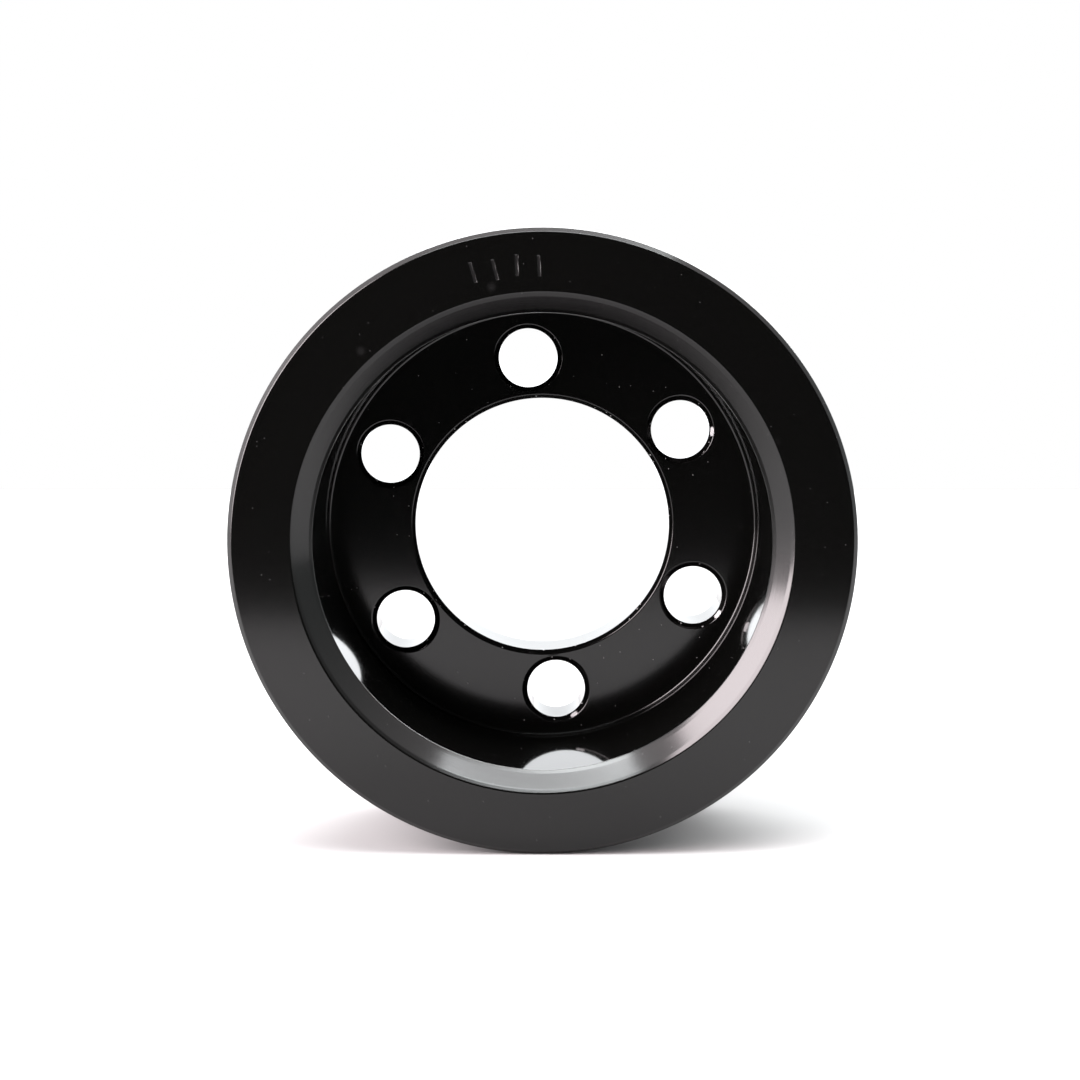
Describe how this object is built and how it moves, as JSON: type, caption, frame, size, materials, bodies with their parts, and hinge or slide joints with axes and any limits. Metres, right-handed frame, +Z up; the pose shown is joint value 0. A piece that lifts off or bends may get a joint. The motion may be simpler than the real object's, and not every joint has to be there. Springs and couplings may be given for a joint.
{
  "type": "multi-rib belt pulley",
  "caption": "Bolt-on belt pulley turned from one piece of black anodised aluminium, with flanged belt grooves, a deep recess, a large bore and a ring of bolt holes.",
  "frame": {"origin": "on the pulley's axis, at half its length", "axes": "+Y along the axis, from the open recess at the front towards the hub face at the rear; +Z up, as it stands on its rim"},
  "size_m": [0.0762, 0.031, 0.0762],
  "materials": {
    "black_anodised": "gloss black anodised, fine turned"
  },
  "bodies": {
    "root": {"pulley_body": "black_anodised"}
  },
  "joints": []
}
